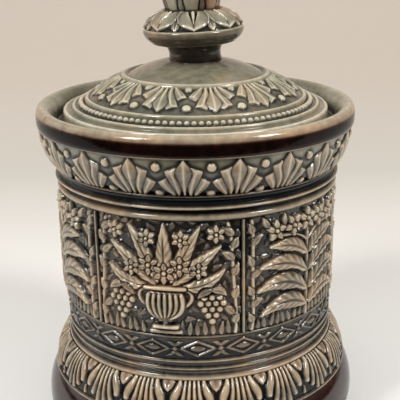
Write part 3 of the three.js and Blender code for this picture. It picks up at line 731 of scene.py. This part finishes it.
def ground_leaves(field):
    """Low foliage behind the motifs and a row of tufts along the bottom."""
    for row, v in enumerate(np.arange(6.5, 50, 4.3)):
        for u in np.arange(-29, 30, 4.6) + 2.3 * (row % 2):
            turn = rng.uniform(0, FULL_TURN)
            u0, v0 = u + rng.uniform(-0.7, 0.7), v + rng.uniform(-0.7, 0.7)
            bow = (u0 + 2.4 * math.cos(turn + 0.6), v0 + 2.4 * math.sin(turn + 0.6))
            tip = (u0 + 4.4 * math.cos(turn), v0 + 4.4 * math.sin(turn))
            field.leaf((u0, v0), bow, tip, wide=1.35, height=0.75, halo=0.25)
    for u in np.arange(-28.8, 29.5, 3.2):
        lean = rng.uniform(-1.6, 1.6)
        field.leaf((u, 0.2), (u + lean * 0.2, 3), (u + lean, rng.uniform(4.6, 7.4)), wide=1.4, height=1.1)


def climber(field, side, stem, shoot_u, shoots, wide):
    """A thin stem up one edge of a panel, with small leaves to both sides of it."""
    field.line(*mirrored(side, stem), wide=0.8, height=1.9)
    for v, du, dv in shoots:
        points = [(shoot_u, v), (shoot_u + du * 0.5, v + dv * 0.9), (shoot_u + du, v + dv)]
        field.leaf(*mirrored(side, points), wide=wide, height=1.8)


def grapes(field, side):
    """A bunch of grapes that hangs from a stalk under two leaves."""
    u, v = 18.8, 17.2
    field.line(*mirrored(side, [(7, 22), (14, 25), (u, 20.5)]), wide=0.8, height=2.0)
    for row, count in enumerate((3, 4, 3, 2, 1)):
        for k in range(count):
            across = (k - (count - 1) / 2) * 3.0
            field.stud(side * (u + across), v - row * 2.6, 1.7, 2.2, halo=0.12)
    for bow, tip in (((15.5, 20.5), (13.2, 17.2)), ((22.5, 21), (24.6, 17.8))):
        field.leaf(*mirrored(side, [(u, 20.3), bow, tip]), wide=2.4, height=2.0)


def urn_panel():
    """A fluted urn with leaves and flowers, and grapes to both sides."""
    field = Field(PANEL_U, PANEL_V)
    ground_leaves(field)
    stem = [(28.2, 1), (30, 16), (25.5, 24), (28.5, 40), (25.5, 48.5)]
    shoots = [(5, 2.2, 4), (9, -5, 4), (16, 2.2, 5), (26, 2.2, 5), (33, -5, 3.5), (38, 2, 4.5),
              (43.5, -5.5, 3)]
    fronds = [
        ([(4.5, 22), (17, 21), (24, 29.5)], 3.5),
        ([(3.5, 23), (12, 31), (22.5, 39.5)], 3.7),
        ([(2.5, 24), (8.5, 38), (14.5, 48)], 3.6),
    ]
    for side in BOTH_SIDES:
        climber(field, side, stem, 27.8, shoots, 2.2)
        for points, wide in fronds:
            field.leaf(*mirrored(side, points), wide=wide, height=DEEP)
        grapes(field, side)
    field.leaf((0, 24), (0, 36), (0, 49), wide=4.1, height=DEEP)
    for u, v, size in ((6.3, 31.2, 3.8), (13.6, 29.4, 3.2), (6.8, 42.6, 3.1), (20.6, 44.6, 3.1)):
        for side in BOTH_SIDES:
            field.flower(side * u, v, size, DEEP, turn=0.5)
    field.flower(0, 28, 4.0, DEEP, turn=0.5)
    for side in BOTH_SIDES:
        handle = [(7.6, 20.6), (12.4, 20.4), (11.4, 14.4), (7.4, 13.4)]
        field.line(*mirrored(side, handle), wide=0.95, height=1.9, halo=0.3)
    for lean in np.linspace(-1, 1, 7):
        flute = bezier((lean * 2.2, 8.2), (lean * 8.6, 10.5), (lean * 6.6, 18.4))
        field.stroke(even(flute, 12), [0.7, 1.25, 1.3, 1.05], DEEP, halo=0.08)
    field.bar(6.6, 19.2, wide=0.8, height=2.0)
    field.bar(8.0, 21.4, wide=1.25, height=DEEP, halo=0.2)
    field.line((0, 5.0), (0, 8.6), wide=1.5, height=2.0)
    field.bar(2.4, 7.2, wide=0.75, height=2.1)
    field.bar(4.6, 4.2, wide=1.1, height=DEEP, halo=0.2)
    field.bar(6.0, 2.0, wide=1.15, height=2.0, halo=0.2)
    return field.h


def plant_panel():
    """A tobacco plant in flower."""
    field = Field(PANEL_U, PANEL_V)
    ground_leaves(field)
    field.line((0, 1), (0.6, 20), (0, 40), wide=1.2, height=1.9)
    stem = [(28.4, 1), (26, 12), (30, 24), (26.5, 38), (28.4, 48.5)]
    shoots = [(4, 1.8, 4), (11, -4.4, 3), (16, 1.8, 4), (24, -4.6, 3), (29, 1.8, 4.4), (38, -4.6, 4),
              (43, 1.4, 4.4)]
    fronds = [
        ([(0.8, 29), (9, 37), (20.5, 35.8)], 4.3),
        ([(0.8, 21), (12, 31), (25, 27.2)], 4.9),
        ([(0.8, 12.5), (13, 24), (26, 17)], 5.2),
        ([(0.8, 5.5), (12, 14.5), (24.5, 6.0)], 4.8),
    ]
    for side in BOTH_SIDES:
        climber(field, side, stem, 28, shoots, 2.1)
        field.line(*mirrored(side, [(0.6, 35), (5, 39), (14.5, 40)]), wide=0.8, height=2.0)
        for points, wide in fronds:
            field.leaf(*mirrored(side, points), wide=wide, height=DEEP)
        field.flower(side * 8.4, 43.4, 4.1, DEEP, petals=5, turn=0.9)
        field.flower(side * 17.4, 42.6, 3.9, DEEP, petals=5, turn=0.3)
        field.leaf(*mirrored(side, [(20.5, 44.5), (22.4, 46.5), (23.4, 49)]), wide=1.9, height=1.9)
        field.leaf(*mirrored(side, [(12.8, 44), (13.2, 47), (13.0, 49.3)]), wide=1.8, height=1.9)
    field.flower(0, 44.2, 4.4, DEEP, petals=5, turn=math.pi / 2)
    return field.h


def frieze():
    """The panels, each a little deeper or flatter than its design, with a bar to the right of each."""
    designs = [urn_panel(), plant_panel()]
    bar_path = FRIEZE_PATH[::2]
    across = np.linspace(-1, 1, 13)
    section = bulge(across)
    bar_h = np.repeat(1.3 * section[None], len(bar_path), 0)
    bar_pool = np.repeat((0.1 + 0.68 * section**3)[None], len(bar_path), 0)
    bar_turns = across * (BAR_HALF + JOIN) / WALL_R
    for k in range(PANELS):
        centre = math.radians(FIRST_PANEL + 360 / PANELS * k)
        h = designs[k % 2] * (1 + 0.04 * rng.standard_normal())
        pool = np.maximum(pooled(h, DEEP, False, cells=4, ground=0.24, gain=0.28, edges=1.8), 0.13)
        relief(f"frieze_relief_{k + 1}", FRIEZE_PATH, h, centre + PANEL_TURNS, pool, 1.2, "relief_glaze",
               "jar", f"frieze_panel_{k + 1}", around=False)
        side = centre + math.pi / PANELS
        relief(f"frieze_fillet_{k + 1}", bar_path, bar_h, side + bar_turns, bar_pool, 1.2, "relief_glaze",
               "jar", f"frieze_bar_{k + 1}", around=False)


# Lid.


def lid_body():
    """From the middle of the hollow down the flange, round the edge and over the rings to the top."""
    rows = outline(
        straight((0, 161.5), (31.6, 156.0), pool=0.4, step=3),
        curve((31.6, 156.0), (HOLLOW_R, 152), (HOLLOW_R, 144), pool=0.4, step=2),
        straight((HOLLOW_R, 144), (HOLLOW_R, Z_FLANGE + 0.5), pool=0.4, step=2),
        curve((HOLLOW_R, Z_FLANGE + 0.5), (HOLLOW_R, Z_FLANGE), (49.2, Z_FLANGE), pool=0.6, step=0.3),
        straight((49.2, Z_FLANGE), (52.8, Z_FLANGE), pool=0.6, bare=1),
        curve((52.8, Z_FLANGE), (FLANGE_R, Z_FLANGE), (FLANGE_R, 133.0), pool=0.6, bare=(1, 0.2), step=0.3),
        straight((FLANGE_R, 133.0), (FLANGE_R, Z_GALLERY), pool=0.4, bare=0.2, step=2),
        straight((FLANGE_R + JOIN, Z_GALLERY), (57.4, Z_GALLERY), pool=0.6, bare=1),
        curve((57.4, Z_GALLERY), (LID_R, Z_GALLERY), (LID_R, 143.0), pool=(0.5, 0.7), brown=0.3,
              bare=(1, 0), step=0.25),
        straight((LID_R, 143.0), (LID_R, 147.0), pool=(0.62, 0.72), brown=(0.45, 0.1)),
        curve((LID_R, 147.0), (LID_R, 148.3), (57.5, 148.4), pool=(0.75, 0.95), step=0.2),
        curve((57.5, 148.4), (56.9, 148.4), (56.6, 148.0), pool=(0.9, 0.5), step=0.2),
        curve((56.6, 148.0), (55.6, 147.6), (54.6, 148.6), pool=(0.42, 0.34), step=0.25),
        curve((54.6, 148.6), (54.5, 150.1), (53.7, 150.1), pool=(0.4, 0.9), step=0.2),
        curve((53.7, 150.1), (53.0, 150.1), (52.9, 149.6), pool=(0.9, 0.35), step=0.2),
        curve((52.9, 149.6), (52.4, 149.2), (51.6, 150.0), pool=(0.15, 0.1), step=0.3),
        straight((51.6, 150.0), (49.2, 150.5), pool=0.05, step=0.4),
        curve((49.0, 150.6), (49.0, 153.4), (47.9, 153.4), pool=(0.3, 0.45, 0.9), step=0.25),
        curve((47.9, 153.4), (47.2, 153.4), (46.8, 152.4), pool=(0.9, 0.35), step=0.2),
        straight((46.6, 151.0), (32.6, 159.6), pool=0.1, step=3),
        curve((33.2, 160.6), (33.0, 162.5), (31.7, 162.7), pool=(0.3, 0.9), step=0.2),
        curve((31.7, 162.7), (30.6, 162.8), (30.1, 162.1), pool=(0.85, 0.3), step=0.2),
        curve((30.1, 162.1), (29.6, 161.8), (29.0, 162.3), pool=(0.2, 0.42), step=0.2),
        curve((29.0, 162.3), (22, 166.4), (12.6, Z_DOME), pool=(0.42, 0.47, 0.42),
              brown=(0, 0, 0, 0, 0.08, 0.5)),
        straight((12.6, Z_DOME), (0, Z_DOME), pool=0.4, step=3),
    )
    turned("lid_turned", rows, TURN_STEPS, "lid_glaze", "lid", "lid")


def lid_palmettes():
    """Twelve palmettes, drawn from the heel outwards and turned over to run up the dome."""
    count, height = 12, 1.15
    path = even(bezier((47.0, 152.5), (40.78, 157.8), (32.85, 161.1), count=60), 66)
    turns, pitch, unit = repeated(path, count, 88, 11, 40.5)
    palmette(unit, pitch, length_of(path), height, lift=0, tip=0.89)
    h = all_round(unit.h[::-1], count)
    pool = np.minimum(pooled(h, height, ground=0.26, gain=0.31, edges=1.7), 0.88)
    relief("lid_palmettes", path, h, turns, pool, 1.0, "lid_glaze", "lid", "lid_palmette_band")


def lid_beads():
    count, ring_r, bead_r = 110, 50.4, 1.42
    spread = np.linspace(-1, 1, 15)
    path = np.stack([ring_r - spread * 1.5, 150.05 + spread * 0.3], 1)
    turns, _, unit = repeated(path, count, 14, 0, ring_r)
    gap = np.hypot(spread[:, None] * bead_r, all_round(unit.u[None], count))
    h = np.sqrt(np.clip(bead_r**2 - gap**2, 0, None)) * 1.25
    pool = np.clip(0.68 * h - 0.2, 0, 0.95)
    relief("lid_beads", path, h, turns, pool, 0.6, "lid_glaze", "lid", "lid_bead_ring")


# Finial: it stands a little askew on the lid, as hand-luted finials do.

LEAN = math.radians(-2.3)
LEAN_Z = 166.0


def leaning(grid):
    x, y, z = grid[..., 0], grid[..., 1], grid[..., 2] - LEAN_Z
    turned_x = x * math.cos(LEAN) + z * math.sin(LEAN)
    turned_z = z * math.cos(LEAN) - x * math.sin(LEAN)
    return np.stack([turned_x, y, turned_z + LEAN_Z], -1)


def finial_stem():
    """Neck, disc and column, from the underside to the top of the column."""
    base_z, column_r, knop_r, knop_z = 166.8, 10.8, 13.0, 188.3
    rows = outline(
        straight((0, base_z), (12.1, base_z), pool=0.2, brown=0.8, step=3),
        curve((12.1, base_z), (11.5, 168.2), (11.3, 169.8), pool=(0.2, 0.1, 0.2), brown=(1, 0.9, 0.6),
              step=0.3),
        curve((11.3, 169.8), (11.0, 172.3), (12.2, 173.9), pool=(0.2, 0.3, 0.24), brown=(0.55, 0.42, 0.42),
              step=0.3),
        curve((12.2, 173.9), (12.9, 174.9), (14.4, 175.0), pool=(0.2, 0.5), brown=(0.4, 0.2), step=0.25),
        # From here the disc is dark on its underside and the lower half of its side, and pale on its upper
        # half: partly treacle glaze, partly painted shade.
        curve((14.4, 175.0), (16.4, 175.2), (17.6, 175.7), pool=(0.4, 0.16, 0.16), brown=(0.3, 0.4, 0.4),
              step=0.3),
        curve((17.6, 175.7), (18.4, 175.8), (18.5, 176.3), pool=(0.1, 0.55, 0.15), brown=0.2, step=0.15),
        curve((18.5, 176.3), (20.6, 177.6), (21.3, 179.1), pool=(0.26, 0.26, 0.3), brown=0.34, step=0.3),
        curve((21.3, 179.1), (21.8, 179.9), (21.9, 180.7), pool=(0.28, 0.46, 0.5), brown=(0.4, 0.34),
              step=0.2),
        curve((21.9, 180.7), (22.0, 181.7), (21.3, 182.2), pool=(0.5, 0.52, 0.84), brown=(0.34, 0.3, 0),
              step=0.2),
        curve((21.3, 182.2), (21.0, 182.4), (20.4, 182.1), pool=(0.85, 0.3), step=0.2),
        straight((20.4, Z_DISC), (column_r, Z_DISC), (column_r, 188.6), pool=0.1, brown=0.2, step=2),
        curve((column_r, knop_z), (knop_r, knop_z), (knop_r, 189.3), pool=(0.02, 0.1), brown=0.4, step=0.3),
        curve((knop_r, 189.3), (knop_r, Z_BUD), (11.4, Z_BUD), pool=(0.1, 0.02), brown=0.4, step=0.3),
        straight((11.4, Z_BUD), (0, Z_BUD), pool=0.2, brown=0.4, step=3),
    )
    turned("finial_turned", rows, FINIAL_STEPS, "finial_glaze", "lid", "finial_stem", place=leaning)


def finial_leaves():
    """Eight petals that lie open on the disc, with a small leaf between each two."""
    count, height = 8, 1.6
    path = even(bezier((20.6, Z_DISC + JOIN), (18.9, 187.1), (12.0, 188.5), count=60), 56)
    turns, pitch, unit = repeated(path, count, 56, 2, 18.0)
    long = length_of(path)
    for side in BOTH_SIDES:
        between = [(side * pitch / 2, 0.55 * long), (side * pitch / 2, 0.0)]
        unit.stroke(even(between, 10), [0.5, 1.9, 2.4, 1.7, 0.05], 1.1, veined)
    petal = [(0, long + 0.6), (0, 0.04 * long)]
    unit.stroke(even(petal, 18), [6.9, 7.1, 7.2, 7.2, 7.0, 6.2, 4.4, 0.3], height, paired, halo=0.02)
    rib = [(0, long + 0.3), (0, 0.24 * long)]
    unit.stroke(even(rib, 12), [1.5, 1.3, 0.9, 0.5, 0.1], height, halo=1.1)
    h = all_round(unit.h, count)
    pool = pooled(h, height, ground=0.22, gain=0.33, edges=2.3)
    relief("finial_leaves", path, h, turns, pool, 1.6, "finial_glaze", "lid", "finial_calyx", brown=0.08,
           place=leaning)


def finial_bud():
    """Eight lobes closed over eight more, with treacle brushed round the foot of some."""
    count, height = 8, 1.25
    wide, top = (12.3, 201.7), (0, 215.7)
    flank = bezier((10.6, Z_BUD + JOIN), (12.0, 194.7), wide)
    path = even(np.vstack([flank, bezier(wide, (wide[0], 211.2), top)[1:]]), 84)
    turns, pitch, unit = repeated(path, count, 30, 0, 12)
    long = length_of(path)
    for side in BOTH_SIDES:
        inner = [(side * pitch / 2, -1), (side * pitch / 2, 0.62 * long)]
        unit.stroke(even(inner, 12), [1.9, 2.6, 2.6, 2.0, 0.05], 0.8, rounded)
    lobe = [(0, -1), (0, 0.86 * long)]
    unit.stroke(even(lobe, 16), [2.9, 3.5, 3.8, 3.6, 2.7, 0.05], height, rounded, halo=0.16)
    up = climb(path)
    h = all_round(unit.h, count) * smooth(1.0, 0.88, up)
    brushed = np.abs(np.sin(1.5 * turns + 0.6))[None] ** 3
    brown = 0.75 * brushed * smooth(0.55, 0.2, up)
    pool = pooled(h, height, ground=0.02, gain=0.7, edges=1.4)
    relief("finial_lobes", path, h, turns, pool, 1.6, "finial_glaze", "lid", "finial_bud", weld=True,
           brown=brown, place=leaning)


jar_body()
foot()
collar_palmettes()
foot_leaves()
ornament_row()
frieze()
lid_body()
lid_palmettes()
lid_beads()
finial_stem()
finial_leaves()
finial_bud()


# Stage, light and camera, in metres.


def paper(name, stops):
    """A plain paper backdrop, whose colour changes from front to back."""
    material = bpy.data.materials.new(name)
    material.use_nodes = True
    tree = material.node_tree
    shader = tree.nodes["Principled BSDF"]
    shader.inputs["Roughness"].default_value = 0.9
    shader.inputs["Specular IOR Level"].default_value = 0.1
    where = tree.nodes.new("ShaderNodeTexCoord")
    apart = tree.nodes.new("ShaderNodeSeparateXYZ")
    ramp = tree.nodes.new("ShaderNodeValToRGB")
    ramp.color_ramp.elements.new(0.5)
    for element, (at, colour) in zip(ramp.color_ramp.elements, stops):
        element.position = at
        element.color = linear(*colour)
    tree.links.new(where.outputs["Object"], apart.inputs[0])
    tree.links.new(apart.outputs["Y"], ramp.inputs["Fac"])
    tree.links.new(ramp.outputs["Color"], shader.inputs["Base Color"])
    return material


def add_floor():
    """A sheet of paper that runs back under the jar and curves up behind it."""
    front, bend, back, rise, top, half = -0.22, 0.9, 1.5, 0.6, 2.0, 2.5
    curl = bezier((bend, 0.0), (back, 0.0), (back, rise), count=16)
    sweep = [(front, 0.0), (bend, 0.0), *curl, (back, top)]
    points = [(x, y, z) for y, z in sweep for x in (-half, half)]
    faces = [(2 * k, 2 * k + 1, 2 * k + 3, 2 * k + 2) for k in range(len(sweep) - 1)]
    mesh = bpy.data.meshes.new("floor")
    mesh.from_pydata(points, [], faces)
    mesh.shade_smooth()
    stops = [(0.0, (240, 240, 238)), (0.4, (208, 203, 194)), (0.9, (229, 218, 206))]
    mesh.materials.append(paper("paper", stops))
    floor_object = bpy.data.objects.new("floor", mesh)
    bpy.context.scene.collection.objects.link(floor_object)


def area_light(name, place, target, width, height, watts, colour):
    light = bpy.data.lights.new(name, "AREA")
    light.shape = "RECTANGLE"
    light.size, light.size_y = width, height
    light.energy = watts
    light.color = colour
    lamp = bpy.data.objects.new(name, light)
    lamp.location = place
    lamp.rotation_euler = (Vector(target) - Vector(place)).to_track_quat("-Z", "Y").to_euler()
    bpy.context.scene.collection.objects.link(lamp)


def add_world():
    """A soft sky that is brighter overhead. The camera sees a plain warm grey instead."""
    world = bpy.data.worlds.new("studio")
    bpy.context.scene.world = world
    world.use_nodes = True
    nodes, link = world.node_tree.nodes, world.node_tree.links.new
    sky = nodes["Background"]
    sky.inputs["Strength"].default_value = 0.82
    where = nodes.new("ShaderNodeTexCoord")
    apart = nodes.new("ShaderNodeSeparateXYZ")
    rise = nodes.new("ShaderNodeValToRGB")
    for element, (at, grey) in zip(rise.color_ramp.elements, ((0.05, 0.1), (0.9, 0.9))):
        element.position = at
        element.color = (grey, grey * 0.985, grey * 0.965, 1)
    plain = nodes.new("ShaderNodeBackground")
    plain.inputs["Color"].default_value = (0.72, 0.69, 0.66, 1)
    rays = nodes.new("ShaderNodeLightPath")
    seen = nodes.new("ShaderNodeMixShader")
    link(where.outputs["Generated"], apart.inputs[0])
    link(apart.outputs["Z"], rise.inputs["Fac"])
    link(rise.outputs["Color"], sky.inputs["Color"])
    link(rays.outputs["Is Camera Ray"], seen.inputs[0])
    link(sky.outputs[0], seen.inputs[1])
    link(plain.outputs[0], seen.inputs[2])
    link(seen.outputs[0], nodes["World Output"].inputs["Surface"])


def add_camera():
    """A camera fitted to the turned rings in the photo, with its focal length and centre in pixels."""
    photo_width, focal, centre_x, centre_y = 400, 894.2, 244.1, 212.3
    pitch, yaw, roll = math.radians(18.91), math.radians(1.84), math.radians(-0.12)
    place = (0.00854, -0.3932, 0.2314)
    forward = Vector((math.sin(yaw) * math.cos(pitch), math.cos(yaw) * math.cos(pitch), -math.sin(pitch)))
    level = Vector((math.cos(yaw), -math.sin(yaw), 0))
    upright = level.cross(forward)
    right = math.cos(roll) * level + math.sin(roll) * upright
    up = math.cos(roll) * upright - math.sin(roll) * level
    camera = bpy.data.cameras.new("camera")
    camera.sensor_width = 36
    camera.lens = focal / photo_width * camera.sensor_width
    camera.shift_x = 0.5 - centre_x / photo_width
    camera.shift_y = centre_y / photo_width - 0.5
    camera_object = bpy.data.objects.new("camera", camera)
    axes = Matrix((right, up, -forward)).transposed().to_4x4()
    camera_object.matrix_world = Matrix.Translation(place) @ axes
    bpy.context.scene.collection.objects.link(camera_object)
    bpy.context.scene.camera = camera_object


DAYLIGHT = (1.0, 0.985, 0.97)
COOL = (0.97, 0.985, 1.0)

add_floor()
area_light("window_left", (-0.8, -0.7, 1.0), (0, 0, 0.1), 0.3, 0.45, 12, DAYLIGHT)
area_light("window_right", (0.9, -0.55, 1.0), (0, 0, 0.1), 0.3, 0.45, 12, DAYLIGHT)
area_light("glow_left", (-1.1, 0.35, 0.5), (0, 0, 0.09), 0.7, 0.7, 1.5, COOL)
add_world()
add_camera()
bpy.context.scene.view_settings.view_transform = "Standard"
